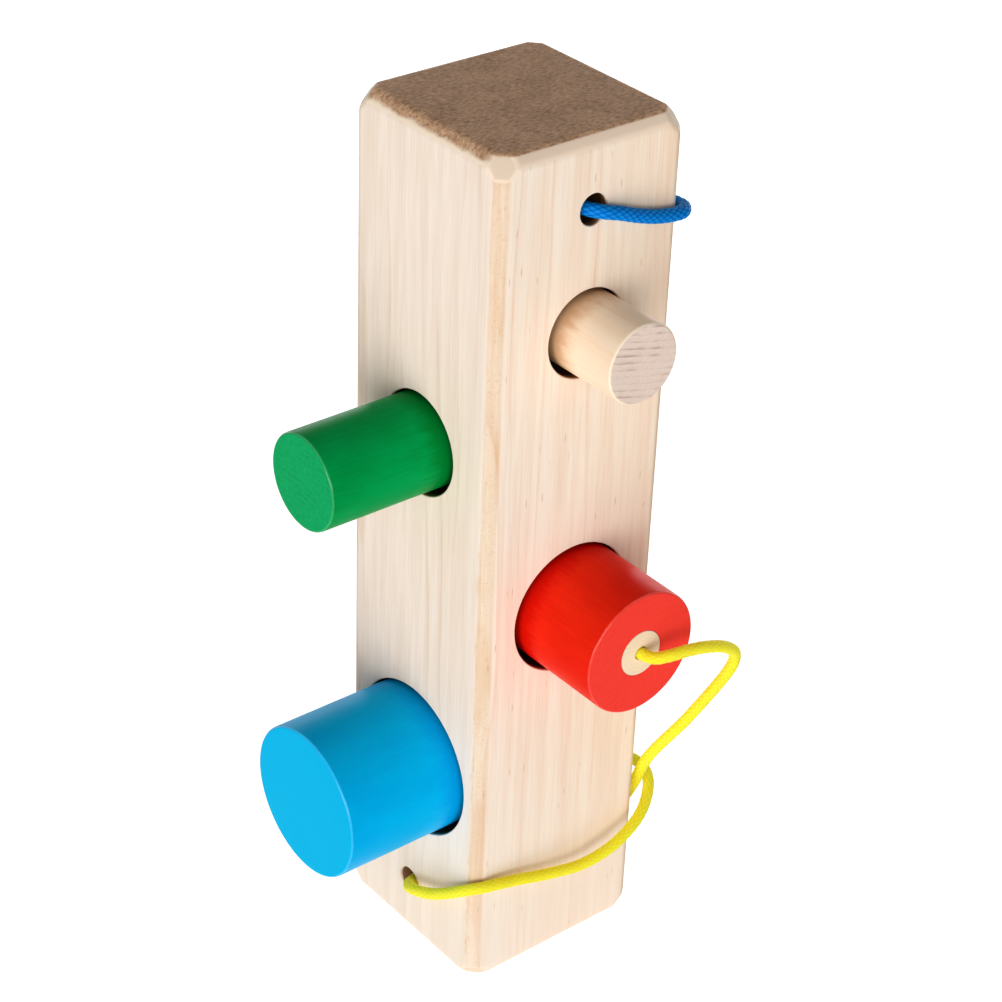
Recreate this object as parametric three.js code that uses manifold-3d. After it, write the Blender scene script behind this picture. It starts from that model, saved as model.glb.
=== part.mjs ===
// Shape matching puzzle, a wooden toy: a square post with four round holes through it, a loose round
// peg in each hole, a yellow cord that ties the red peg to the post, and a blue cord loop at the top.
// Millimetres, +Z up. The origin is the middle of the post's foot. The red and natural pegs go in at
// the front (-Y), the green and blue ones at the left (-X).

import * as THREE from 'three';
import { ConvexGeometry } from 'three/addons/geometries/ConvexGeometry.js';
import { mergeVertices } from 'three/addons/utils/BufferGeometryUtils.js';
import Module from 'manifold-3d';

const wasm = await Module();
wasm.setup();

// Post
const POST_WIDTH = 70;
const POST_HEIGHT = 300;
const EDGE_CHAMFER = 3.4;       // along each face, on all twelve edges
const CORNER_CUT = 10;          // along each edge, on all eight corners

// Pegs: all cut to one length, each with its own diameter
const PEG_LENGTH = 112;
const PEG_EDGE_ROUND = 1;
const NATURAL_DIAMETER = 26;
const GREEN_DIAMETER = 31.5;
const RED_DIAMETER = 42;
const BLUE_DIAMETER = 52;
const NATURAL_STAND_OUT = 24;   // how far the front end stands out of the post
const RED_STAND_OUT = 32;
const FLUSH_STAND_OUT = PEG_LENGTH - POST_WIDTH; // far end level with the far side of the post

// Holes: each is a little wider than its peg. A small bore for a cord lies below them and another above.
const HOLE_CLEARANCE = 3;       // on the diameter
const CORD_BORE = 10;
const POST_PLUG_SETBACK = 12;   // from the mouth of the low bore

// Wood from the foot up. What the holes leave of the post's height is shared out in these parts.
const WOOD_BELOW_LOW_BORE = 17.5;
const WOOD_LOW_BORE_TO_BLUE = 20;
const WOOD_BLUE_TO_RED = 15;
const WOOD_RED_TO_GREEN = 15;
const WOOD_GREEN_TO_NATURAL = 10.5;
const WOOD_NATURAL_TO_TOP_BORE = 20.5;
const WOOD_ABOVE_TOP_BORE = 18;

// Cords, plugs and knots
const YELLOW_CORD_DIAMETER = 4;
const BLUE_CORD_DIAMETER = 4.4;
const PEG_PLUG_DIAMETER = 15;
const PLUG_LENGTH = 10;
const KNOT_LENGTH = 11;
const KNOT_WRAPS = 3;

// Clearances
const SEAT_GAP = 0.3;           // between pieces that rest on or meet each other
const PLUG_FIT = 0.3;           // round a plug in its bore
const CORD_FIT = 0.3;           // round the cord in a drilled plug

// Making
const CUT_OVERRUN = 5;          // how far a cut runs past the face that it starts from
const ROUND_SEGMENTS = 64;
const SMALL_SEGMENTS = 32;
const KNOT_SEGMENTS = 20;
const EDGE_STEPS = 3;
const WRAP_STEPS = 4;
const CORD_SIDES = 10;
const YELLOW_STEPS = 80;
const BLUE_STEPS = 60;

// Heights of the bores and holes, from the foot up
const sum = (values) => values.reduce((total, value) => total + value, 0);
const holeDiameter = (pegDiameter) => pegDiameter + HOLE_CLEARANCE;
const holes = [
  CORD_BORE, holeDiameter(BLUE_DIAMETER), holeDiameter(RED_DIAMETER), holeDiameter(GREEN_DIAMETER),
  holeDiameter(NATURAL_DIAMETER), CORD_BORE,
];
const woodParts = [
  WOOD_BELOW_LOW_BORE, WOOD_LOW_BORE_TO_BLUE, WOOD_BLUE_TO_RED, WOOD_RED_TO_GREEN, WOOD_GREEN_TO_NATURAL,
  WOOD_NATURAL_TO_TOP_BORE, WOOD_ABOVE_TOP_BORE,
];
const woodShare = (POST_HEIGHT - sum(holes)) / sum(woodParts);
const [lowBoreZ, blueZ, redZ, greenZ, naturalZ, topBoreZ] = holes.map((hole, i) => (
  sum(holes.slice(0, i)) + hole / 2 + woodShare * sum(woodParts.slice(0, i + 1))));

// Sizes of the bores that hold a plug and a knot
const pegPocket = PEG_PLUG_DIAMETER + 2 * PLUG_FIT;
const pocketDepth = PLUG_LENGTH + KNOT_LENGTH + 2 * SEAT_GAP;
const lowBoreDepth = POST_PLUG_SETBACK + pocketDepth;
const plugHole = YELLOW_CORD_DIAMETER + 2 * CORD_FIT;

// A peg leans on one side of its hole
const pegLean = HOLE_CLEARANCE / 2 - SEAT_GAP;

// Outer ends of the two plugs that hold the yellow cord
const pegPlugY = -POST_WIDTH / 2 - RED_STAND_OUT;
const postPlugX = -POST_WIDTH / 2 + POST_PLUG_SETBACK;

// Turns that lay a shape made along +Y with its start at the front or at the left of the post
const FRONT_TO_BACK = new THREE.Euler(0, 0, 0);
const LEFT_TO_RIGHT = new THREE.Euler(0, 0, -Math.PI / 2);

// Pegs from the front lean to the right, pegs from the left lean to the back
const LEAN_RIGHT = new THREE.Vector3(pegLean, 0, 0);
const LEAN_BACK = new THREE.Vector3(0, pegLean, 0);

const PEGS = [
  { name: 'natural', from: FRONT_TO_BACK, lean: LEAN_RIGHT, z: naturalZ, diameter: NATURAL_DIAMETER,
    standOut: NATURAL_STAND_OUT, color: 0xebcf9f, roughness: 0.6 },
  { name: 'green', from: LEFT_TO_RIGHT, lean: LEAN_BACK, z: greenZ, diameter: GREEN_DIAMETER,
    standOut: FLUSH_STAND_OUT, color: 0x0f9a4f, roughness: 0.35 },
  { name: 'red', from: FRONT_TO_BACK, lean: LEAN_RIGHT, z: redZ, diameter: RED_DIAMETER,
    standOut: RED_STAND_OUT, color: 0xe8321f, roughness: 0.35, pocket: true },
  { name: 'blue', from: LEFT_TO_RIGHT, lean: LEAN_BACK, z: blueZ, diameter: BLUE_DIAMETER,
    standOut: FLUSH_STAND_OUT, color: 0x009fdc, roughness: 0.3 },
];

// Points of a route, each part measured from a place that it stays with
const right = POST_WIDTH / 2;
const left = -right;
const back = POST_WIDTH / 2;
const front = -back;
const measuredFrom = (x, y, z, points) => points.map(([dx, dy, dz]) => [x + dx, y + dy, z + dz]);

// The yellow cord, from the red peg's plug to the plug in the low bore. It bows out to the right, drops
// past the post's right-hand edge, curls once beside it and comes round the front to the left side.
const YELLOW_ROUTE = [
  ...measuredFrom(pegLean, pegPlugY, redZ, [
    [0, PLUG_LENGTH, 0], [0, 0, 0], [1.1, -5.1, 0.6], [4.3, -8.2, 2], [9.2, -9.7, 2.5], [15.8, -10.4, 1.6],
  ]),
  ...measuredFrom(right, pegPlugY, redZ, [
    [-10.6, -10, -1.2], [-4, -8.1, -5.7], [1.3, -5.7, -11.2], [3.4, -3, -18.2],
  ]),
  ...measuredFrom(right, (pegPlugY + front) / 2, (redZ + lowBoreZ) / 2, [[3.3, -2.4, 10.8]]),
  ...measuredFrom(right, front, lowBoreZ, [
    [2.6, -0.5, 41], [2.4, 4.8, 27.5], [2.4, 11.4, 15], [2.6, 15.7, 10.6], [3, 21.8, 10],
    [3.5, 26.9, 13.4], [4, 28.6, 19.3], [4.6, 26.1, 25], [5.6, 19.6, 29.1], [7, 12.2, 31.9],
    [7.7, 6.2, 31.4], [6.4, 1.8, 29], [3.2, -1.5, 26], [-1.7, -4.4, 23.1], [-8.2, -6.4, 20.4],
    [-17.3, -7.3, 17.2],
  ]),
  ...measuredFrom(0, front, lowBoreZ, [[6, -6.6, 15.1]]),
  ...measuredFrom(left, front, lowBoreZ, [
    [27, -4.9, 16.5], [15, -3.5, 19], [6, -2.9, 20.9], [1.6, -1.7, 21], [-1.7, 1.5, 19.6],
    [-3.2, 6.2, 16.2],
  ]),
  ...measuredFrom(left, 0, lowBoreZ, [
    [-4.8, -18.6, 9.3], [-5.6, -10.4, 5.9], [-3.5, -4.4, 2.7], [0.8, -0.9, 0.4],
  ]),
  ...measuredFrom(postPlugX, 0, lowBoreZ, [[0, 0, 0], [PLUG_LENGTH, 0, 0]]),
];

// The blue cord, from the knot in the top bore out at the front, round the right-hand edge and side
// and in again at the back
const knotToCord = KNOT_LENGTH / 2 + SEAT_GAP;
const BLUE_ROUTE = [
  [0, -knotToCord, topBoreZ],
  ...measuredFrom(0, front, topBoreZ, [
    [-0.6, 17, 0.1], [-2.3, 6.5, 0.2], [-1.2, 1.8, 0], [2.2, -1.6, -0.6], [7.5, -2.8, -2],
    [15, -2.9, -4.8],
  ]),
  ...measuredFrom(right, front, topBoreZ, [
    [-12.5, -2.9, -7], [-5.8, -2.7, -8.2], [-1.55, -1.75, -8.8], [1.75, 1.55, -9.4], [2.7, 5.8, -10],
    [2.7, 20, -11.2],
  ]),
  ...measuredFrom(right, 0, topBoreZ, [[2.7, 0, -11.4]]),
  ...measuredFrom(right, back, topBoreZ, [
    [2.7, -20, -10.4], [2.7, -5.8, -8.4], [1.75, -1.55, -7.4], [-1.55, 1.75, -6.6], [-5.8, 2.7, -5.8],
    [-17, 2.8, -3.6],
  ]),
  ...measuredFrom(0, back, topBoreZ, [
    [7.5, 2.8, -1.6], [2.2, 1.6, -0.6], [-1.2, -1.8, -0.2], [-2.3, -6.5, 0], [-0.6, -17, 0],
  ]),
  [0, knotToCord, topBoreZ],
];

const PAINT = { metalness: 0 };

function material(color, roughness) {
  return new THREE.MeshStandardMaterial({ color, roughness, ...PAINT });
}

function mesh(name, geometry, color, roughness) {
  const piece = new THREE.Mesh(geometry, material(color, roughness));
  piece.name = name;
  return piece;
}

// Closed geometry with its shared vertices merged, as a solid for cutting
function solidOf(geometry) {
  const plain = geometry.clone();
  plain.deleteAttribute('normal');
  plain.deleteAttribute('uv');
  const merged = mergeVertices(plain, 1e-4);
  return new wasm.Manifold(new wasm.Mesh({
    numProp: 3,
    vertProperties: new Float32Array(merged.attributes.position.array),
    triVerts: new Uint32Array(merged.index.array),
  }));
}

function geometryOf(solid) {
  const { vertProperties, triVerts } = solid.getMesh();
  const geometry = new THREE.BufferGeometry();
  geometry.setAttribute('position', new THREE.BufferAttribute(new Float32Array(vertProperties), 3));
  geometry.setIndex(new THREE.BufferAttribute(new Uint32Array(triVerts), 1));
  geometry.computeVertexNormals();
  return geometry;
}

// Points of a quarter round of a profile, from one tangent end to the other
function quarterRound(x, y, radius, startAngle) {
  const points = [];
  for (let i = 0; i <= EDGE_STEPS; i += 1) {
    const angle = startAngle + (i / EDGE_STEPS) * (Math.PI / 2);
    points.push(new THREE.Vector2(x + radius * Math.cos(angle), y + radius * Math.sin(angle)));
  }
  return points;
}

// The post's block. At each corner the three insets, in every order, are the corners of its cut.
function postBlock() {
  const insets = [0, EDGE_CHAMFER, CORNER_CUT - EDGE_CHAMFER];
  const orders = [[0, 1, 2], [0, 2, 1], [1, 0, 2], [1, 2, 0], [2, 0, 1], [2, 1, 0]];
  const half = POST_WIDTH / 2;
  const points = [];
  for (const sideX of [-1, 1]) {
    for (const sideY of [-1, 1]) {
      for (const [i, j, k] of orders) {
        const x = sideX * (half - insets[i]);
        const y = sideY * (half - insets[j]);
        points.push(new THREE.Vector3(x, y, insets[k]));
        points.push(new THREE.Vector3(x, y, POST_HEIGHT - insets[k]));
      }
    }
  }
  return new ConvexGeometry(points);
}

// A cylinder that starts at the front or left face of the post and runs into it, to cut a hole
function bore(from, z, diameter, depth, segments) {
  const radius = diameter / 2;
  const geometry = new THREE.CylinderGeometry(radius, radius, depth + CUT_OVERRUN, segments);
  geometry.translate(0, (depth - CUT_OVERRUN) / 2 - POST_WIDTH / 2, 0);
  geometry.applyMatrix4(new THREE.Matrix4().makeRotationFromEuler(from));
  geometry.translate(0, 0, z);
  return solidOf(geometry);
}

function makePost() {
  const through = POST_WIDTH + CUT_OVERRUN;
  let solid = solidOf(postBlock());
  for (const { from, z, diameter } of PEGS) {
    solid = solid.subtract(bore(from, z, holeDiameter(diameter), through, ROUND_SEGMENTS));
  }
  solid = solid.subtract(bore(FRONT_TO_BACK, topBoreZ, CORD_BORE, through, SMALL_SEGMENTS));
  solid = solid.subtract(bore(LEFT_TO_RIGHT, lowBoreZ, CORD_BORE, lowBoreDepth, SMALL_SEGMENTS));
  return mesh('post', geometryOf(solid), 0xf0dcc4, 0.6);
}

// A peg is a turned bar with rounded ends. The red one has a pocket for its plug and knot.
function pegGeometry({ diameter, pocket }) {
  const radius = diameter / 2;
  const shoulder = radius - PEG_EDGE_ROUND;
  const profile = [new THREE.Vector2(0, 0)];
  if (pocket) {
    profile[0].y = pocketDepth;
    profile.push(new THREE.Vector2(pegPocket / 2, pocketDepth));
    profile.push(new THREE.Vector2(pegPocket / 2, 0));
  }
  profile.push(...quarterRound(shoulder, PEG_EDGE_ROUND, PEG_EDGE_ROUND, -Math.PI / 2));
  profile.push(...quarterRound(shoulder, PEG_LENGTH - PEG_EDGE_ROUND, PEG_EDGE_ROUND, 0));
  profile.push(new THREE.Vector2(0, PEG_LENGTH));
  return new THREE.LatheGeometry(profile, ROUND_SEGMENTS);
}

// A drilled plug, a plain ring that fits a bore
function plugGeometry(boreDiameter) {
  const diameter = boreDiameter - 2 * PLUG_FIT;
  const profile = [
    new THREE.Vector2(plugHole / 2, 0),
    new THREE.Vector2(diameter / 2, 0),
    new THREE.Vector2(diameter / 2, PLUG_LENGTH),
    new THREE.Vector2(plugHole / 2, PLUG_LENGTH),
    new THREE.Vector2(plugHole / 2, 0),
  ];
  return new THREE.LatheGeometry(profile, SMALL_SEGMENTS);
}

// A stopper knot drawn tight in a bore: a barrel of cord wraps side by side
function knotGeometry(boreDiameter) {
  const diameter = boreDiameter - 2 * SEAT_GAP;
  const wrap = KNOT_LENGTH / KNOT_WRAPS;
  const bulge = wrap / 2;
  const core = diameter / 2 - bulge;
  const profile = [new THREE.Vector2(0, 0), new THREE.Vector2(core, 0)];
  for (let i = 1; i <= KNOT_WRAPS * WRAP_STEPS; i += 1) {
    const t = i / WRAP_STEPS;
    const swell = Math.abs(Math.sin(t * Math.PI));
    profile.push(new THREE.Vector2(core + bulge * swell, t * wrap));
  }
  profile.push(new THREE.Vector2(0, KNOT_LENGTH));
  return new THREE.LatheGeometry(profile, KNOT_SEGMENTS);
}

// A round cord along a smooth curve through the points of its route
function cordGeometry(route, diameter, steps) {
  const curve = new THREE.CatmullRomCurve3(route.map((point) => new THREE.Vector3(...point)));
  const section = new THREE.Shape();
  for (let i = 0; i < CORD_SIDES; i += 1) {
    const angle = (i / CORD_SIDES) * 2 * Math.PI;
    const x = (diameter / 2) * Math.cos(angle);
    const y = (diameter / 2) * Math.sin(angle);
    if (i === 0) section.moveTo(x, y);
    else section.lineTo(x, y);
  }
  section.closePath();
  return new THREE.ExtrudeGeometry(section, { steps, extrudePath: curve, bevelEnabled: false });
}

// A plug in a bore and the knot behind it, along +Y
function plugAndKnot(prefix, boreDiameter, cordColor) {
  const set = new THREE.Group();
  const plug = mesh(`${prefix}_plug`, plugGeometry(boreDiameter), 0xe3cda6, 0.65);
  const knot = mesh(`${prefix}_knot`, knotGeometry(boreDiameter), cordColor, 0.7);
  knot.position.y = PLUG_LENGTH + SEAT_GAP;
  set.add(plug, knot);
  return set;
}

const YELLOW = 0xf7dd1c;
const BLUE = 0x0f6fbe;

const toy = new THREE.Group();
toy.add(makePost());

for (const peg of PEGS) {
  const holder = new THREE.Group();
  const start = new THREE.Vector3(0, -POST_WIDTH / 2 - peg.standOut, 0).applyEuler(peg.from);
  holder.position.copy(start).add(peg.lean);
  holder.position.z = peg.z;
  holder.rotation.copy(peg.from);
  holder.add(mesh(`${peg.name}_peg`, pegGeometry(peg), peg.color, peg.roughness));
  if (peg.pocket) holder.add(plugAndKnot('peg', pegPocket, YELLOW));
  toy.add(holder);
}

const lowAnchor = plugAndKnot('post', CORD_BORE, YELLOW);
lowAnchor.position.set(postPlugX, 0, lowBoreZ);
lowAnchor.rotation.copy(LEFT_TO_RIGHT);
toy.add(lowAnchor);

toy.add(mesh('yellow_cord', cordGeometry(YELLOW_ROUTE, YELLOW_CORD_DIAMETER, YELLOW_STEPS), YELLOW, 0.7));

toy.add(mesh('blue_cord', cordGeometry(BLUE_ROUTE, BLUE_CORD_DIAMETER, BLUE_STEPS), BLUE, 0.7));

const joiningKnot = mesh('blue_cord_knot', knotGeometry(CORD_BORE), BLUE, 0.7);
joiningKnot.position.set(0, -KNOT_LENGTH / 2, topBoreZ);
toy.add(joiningKnot);

export default toy;
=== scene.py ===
# Shape matching puzzle: a chamfered wooden post with four loose pegs, a yellow cord that ties the red
# peg to the post, and a blue cord loop near the top. Metres, +Z up; sizes below are in millimetres.

import math
from itertools import permutations, product

import bmesh
import bpy
from mathutils import Matrix, Vector


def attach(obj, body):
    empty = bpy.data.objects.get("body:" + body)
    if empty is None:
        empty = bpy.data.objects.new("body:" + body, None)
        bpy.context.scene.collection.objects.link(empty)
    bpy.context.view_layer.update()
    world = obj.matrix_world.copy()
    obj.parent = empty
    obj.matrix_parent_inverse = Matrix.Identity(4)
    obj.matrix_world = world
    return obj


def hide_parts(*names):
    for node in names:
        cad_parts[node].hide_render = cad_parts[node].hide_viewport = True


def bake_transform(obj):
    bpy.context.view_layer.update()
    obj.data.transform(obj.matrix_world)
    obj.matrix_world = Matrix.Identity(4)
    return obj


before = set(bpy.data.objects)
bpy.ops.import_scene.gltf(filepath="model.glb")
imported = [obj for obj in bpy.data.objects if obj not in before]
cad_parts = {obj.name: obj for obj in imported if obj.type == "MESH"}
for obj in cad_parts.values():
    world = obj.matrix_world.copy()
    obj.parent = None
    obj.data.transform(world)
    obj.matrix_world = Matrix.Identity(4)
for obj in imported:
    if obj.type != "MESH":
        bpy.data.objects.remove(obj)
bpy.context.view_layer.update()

MM = 0.001

# Post: the near face is the front in Y and the left in X
POST_WIDTH = 70
POST_HEIGHT = 300
NEAR_FACE = -POST_WIDTH / 2
EDGE_CHAMFER = 3.4
CORNER_CUT = 10
EDGE_SOFTENING = 1.5
RIM_SOFTENING = 0.45
DRILL_OVERRUN = 4

# Pegs: the face that each stands out of, the height of its hole, its thickness, how far it stands out
PEG_LENGTH = 112
PEG_EDGE_ROUND = 0.9
PEG_LEAN = 1.2
HOLE_CLEARANCE = 3
PEGS = {
    "natural_peg": {"side": "front", "height": 237, "diameter": 26, "stand_out": 24},
    "green_peg": {"side": "left", "height": 194.75, "diameter": 31.5, "stand_out": 42},
    "red_peg": {"side": "front", "height": 140, "diameter": 42, "stand_out": 32},
    "blue_peg": {"side": "left", "height": 75, "diameter": 52, "stand_out": 42},
}

# Bores, plugs and knots
CORD_BORE = 10
TOP_BORE_HEIGHT = 277
LOW_BORE_HEIGHT = 22.5
LOW_BORE_DEPTH = 33.6
LOW_PLUG_START = NEAR_FACE + 12
PEG_PLUG_START = NEAR_FACE - PEGS["red_peg"]["stand_out"]
PEG_PLUG_HEIGHT = PEGS["red_peg"]["height"]
PEG_PLUG_DIAMETER = 15
PEG_POCKET_DEPTH = 21.6
PEG_POCKET_EDGE = 0.25
PLUG_LENGTH = 10
PLUG_HOLE = 4.6
PLUG_GAP = 0.05
PLUG_EDGE = 0.15
SEAT_GAP = 0.3
KNOT_LENGTH = 11
KNOT_TURNS = 1.75
PEG_KNOT_STRAND = 4
BORE_KNOT_STRAND = 3.05

# Cords
YELLOW_CORD_DIAMETER = 4
BLUE_CORD_DIAMETER = 4.4
YELLOW_ROUTE = [
    (1.2, -57, 140), (1.2, -67, 140), (2.3, -72.1, 140.6), (5.5, -75.2, 142), (10.4, -76.7, 142.5),
    (17, -77.4, 141.6), (24.4, -77, 138.8), (31, -75.1, 134.3), (36.3, -72.7, 128.8), (38.4, -70, 121.8),
    (38.3, -53.4, 92.05), (37.6, -35.5, 63.5), (37.4, -30.2, 50), (37.4, -23.6, 37.5),
    (37.6, -19.3, 33.1), (38, -13.2, 32.5), (38.5, -8.1, 35.9), (39, -6.4, 41.8), (39.6, -8.9, 47.5),
    (40.6, -15.4, 51.6), (42, -22.8, 54.4), (42.7, -28.8, 53.9), (41.4, -33.2, 51.5), (38.2, -36.5, 48.5),
    (33.3, -39.4, 45.6), (26.8, -41.4, 42.9), (17.7, -42.3, 39.7), (6, -41.6, 37.6), (-8, -39.9, 39),
    (-20, -38.5, 41.5), (-29, -37.9, 43.4), (-33.4, -36.7, 43.5), (-36.7, -33.5, 42.1), (-38.2, -28.8, 38.7),
    (-39.8, -18.6, 31.8), (-40.6, -10.4, 28.4), (-38.5, -4.4, 25.2), (-34.2, -0.9, 22.9), (-23, 0, 22.5),
    (-13, 0, 22.5),
]
# Heights from the middle of the top bore
BLUE_ROUTE = [
    (0, -5.8, 0), (-0.6, -18, 0.1), (-2.3, -28.5, 0.2), (-1.2, -33.2, 0), (2.2, -36.6, -0.6),
    (7.5, -37.8, -2), (15, -37.9, -4.8), (22.5, -37.9, -7), (29.2, -37.7, -8.2), (33.45, -36.75, -8.8),
    (36.75, -33.45, -9.4), (37.7, -29.2, -10), (37.7, -15, -11.2), (37.7, 0, -11.4), (37.7, 15, -10.4),
    (37.7, 29.2, -8.4), (36.75, 33.45, -7.4), (33.45, 36.75, -6.6), (29.2, 37.7, -5.8), (18, 37.8, -3.6),
    (7.5, 37.8, -1.6), (2.2, 36.6, -0.6), (-1.2, 33.2, -0.2), (-2.3, 28.5, 0), (-0.6, 18, 0), (0, 5.8, 0),
]

# Braid of the cords: strands each way round, stitch length along the cord, height of a stitch, and how
# flat its crown is across and along
BRAID_STRANDS = 8
STITCH_LENGTH = 2.8
STITCH_HEIGHT = 0.2
CROWN_ACROSS = 0.7
CROWN_ALONG = 0.35

# Fineness of the meshes
PEG_SEGMENTS = 160
HOLE_SEGMENTS = 128
SMALL_SEGMENTS = 64
LOW_PLUG_SEGMENTS = 48
PEG_EDGE_STEPS = 6
BRAID_SIDES = 48
BRAID_STEP = 0.275
KNOT_STEP = BRAID_STEP * 1.5
CURVE_STEPS = 40
CREASE_DEGREES = 50


# Camera, at the photograph's viewing angle

CAMERA_PLACE = (-0.44499, -0.53326, 0.58975)
CAMERA_AZIMUTH = -39.769
CAMERA_ELEVATION = 31.663
CAMERA_ROLL = 2.281
CAMERA_LENS = 92.03
CAMERA_SENSOR = 36


def place_camera():
    azimuth, elevation = math.radians(CAMERA_AZIMUTH), math.radians(CAMERA_ELEVATION)
    back = Vector((
        math.sin(azimuth) * math.cos(elevation),
        -math.cos(azimuth) * math.cos(elevation),
        math.sin(elevation),
    ))
    level = Vector((0, 0, 1)).cross(back).normalized()
    upright = back.cross(level)
    c, s = math.cos(math.radians(CAMERA_ROLL)), math.sin(math.radians(CAMERA_ROLL))
    right = level * c + upright * s
    up = upright * c - level * s
    data = bpy.data.cameras.new("camera")
    data.lens = CAMERA_LENS
    data.sensor_width = CAMERA_SENSOR
    data.clip_start, data.clip_end = 0.01, 20
    camera = bpy.data.objects.new("camera", data)
    bpy.context.scene.collection.objects.link(camera)
    turn = Matrix((right, up, back)).transposed().to_4x4()
    camera.matrix_world = Matrix.Translation(CAMERA_PLACE) @ turn
    bpy.context.scene.camera = camera


place_camera()


# Mesh helpers

def show(name, mesh):
    piece = bpy.data.objects.new(name, mesh)
    bpy.context.scene.collection.objects.link(piece)
    return piece


def new_piece(name, verts, faces):
    mesh = bpy.data.meshes.new(name)
    mesh.from_pydata([tuple(v) for v in verts], [], faces)
    mesh.validate()
    return show(name, mesh)


def smooth_faces(piece):
    piece.data.polygons.foreach_set("use_smooth", [True] * len(piece.data.polygons))


def smooth_with_creases(piece):
    smooth_faces(piece)
    piece.data.set_sharp_from_angle(angle=math.radians(CREASE_DEGREES))
    level = piece.modifiers.new("even_shading", "WEIGHTED_NORMAL")
    level.keep_sharp = True
    level.weight = 90


def smooth_line(points, spacing):
    """Evenly spaced points, in millimetres, on one smooth curve through the given points."""
    pts = [Vector(p) for p in points]
    pts = [2 * pts[0] - pts[1]] + pts + [2 * pts[-1] - pts[-2]]
    dense = []
    for p0, p1, p2, p3 in zip(pts, pts[1:], pts[2:], pts[3:]):
        d0, d1, d2 = (math.sqrt((b - a).length) for a, b in ((p0, p1), (p1, p2), (p2, p3)))
        t1 = ((p1 - p0) / d0 - (p2 - p0) / (d0 + d1) + (p2 - p1) / d1) * d1
        t2 = ((p2 - p1) / d1 - (p3 - p1) / (d1 + d2) + (p3 - p2) / d2) * d1
        cubic = 2 * p1 - 2 * p2 + t1 + t2
        square = -3 * p1 + 3 * p2 - 2 * t1 - t2
        for i in range(CURVE_STEPS):
            t = i / CURVE_STEPS
            dense.append(p1 + t * t1 + t * t * square + t ** 3 * cubic)
    dense.append(pts[-2])
    run = [0.0]
    for a, b in zip(dense, dense[1:]):
        run.append(run[-1] + (b - a).length)
    count = max(2, round(run[-1] / spacing))
    line, k = [], 0
    for i in range(count + 1):
        want = run[-1] * i / count
        while k < len(run) - 2 and run[k + 1] < want:
            k += 1
        share = (want - run[k]) / max(run[k + 1] - run[k], 1e-9)
        line.append(dense[k].lerp(dense[k + 1], min(1.0, share)))
    return line


def stitch_relief(around, along):
    """Height of a braided stitch, 0 to 1, where strands of two slants pass over and under."""
    a, b = around + along, around - along
    across, run = (a, b) if (math.floor(a) + math.floor(b)) % 2 == 0 else (b, a)
    crown = math.sin(math.pi * (across % 1.0)) ** CROWN_ACROSS
    return crown * math.sin(math.pi * (run % 1.0)) ** CROWN_ALONG


def braided_tube(name, line, diameter):
    """A closed tube along the line with the stitches of a round braid standing on it."""
    verts, faces, uvs, rows = [], [], [], []
    count, sides = len(line), BRAID_SIDES
    tangents = [(line[min(i + 1, count - 1)] - line[max(i - 1, 0)]).normalized() for i in range(count)]
    normal = tangents[0].orthogonal().normalized()
    run = 0.0
    for i, (point, tangent) in enumerate(zip(line, tangents)):
        if i:
            normal = (normal - tangent * normal.dot(tangent)).normalized()
            run += (point - line[i - 1]).length
        other = tangent.cross(normal)
        along = run / STITCH_LENGTH
        rows.append(along)
        for k in range(sides):
            angle = 2 * math.pi * k / sides
            relief = stitch_relief(BRAID_STRANDS * k / sides, along)
            radius = diameter / 2 - STITCH_HEIGHT * (1 - relief)
            verts.append((point + (normal * math.cos(angle) + other * math.sin(angle)) * radius) * MM)
    for i in range(count - 1):
        for k in range(sides):
            n = (k + 1) % sides
            faces.append((i * sides + k, i * sides + n, (i + 1) * sides + n, (i + 1) * sides + k))
            left, right = BRAID_STRANDS * k / sides, BRAID_STRANDS * (k + 1) / sides
            uvs += [(left, rows[i]), (right, rows[i]), (right, rows[i + 1]), (left, rows[i + 1])]
    for ring, centre, flip in ((0, line[0], True), ((count - 1) * sides, line[-1], False)):
        verts.append(centre * MM)
        for k in range(sides):
            edge = (ring + k, ring + (k + 1) % sides)
            faces.append((edge[1], edge[0], len(verts) - 1) if flip else (*edge, len(verts) - 1))
            uvs += [(0.0, 0.0)] * 3
    piece = new_piece(name, verts, faces)
    layer = piece.data.uv_layers.new(name="braid")
    layer.data.foreach_set("uv", [value for uv in uvs for value in uv])
    smooth_faces(piece)
    return piece


# Cords and their stopper knots

def knot_line(start, along, outer, strand):
    """One strand that runs in along the middle and winds back over itself, as a drawn-up stopper knot."""
    side = along.orthogonal().normalized()
    other = along.cross(side)
    inset = strand / 2
    winding = outer / 2 - inset
    line = [
        start + along * (inset * 0.2),
        start + along * (KNOT_LENGTH * 0.5),
        start + along * (KNOT_LENGTH - inset) + side * (winding * 0.5),
    ]
    steps = 28
    for i in range(steps + 1):
        angle = 2 * math.pi * KNOT_TURNS * i / steps
        back = (KNOT_LENGTH - 2 * inset) * i / steps
        spoke = side * math.cos(angle) + other * math.sin(angle)
        line.append(start + along * (KNOT_LENGTH - inset - back) + spoke * winding)
    return line


def make_knot(name, start, along, outer, strand):
    line = smooth_line(knot_line(Vector(start), Vector(along), outer, strand), KNOT_STEP)
    return braided_tube(name, line, strand)


behind_plug = PLUG_LENGTH + SEAT_GAP
bore_outer = CORD_BORE - 2 * SEAT_GAP

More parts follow.
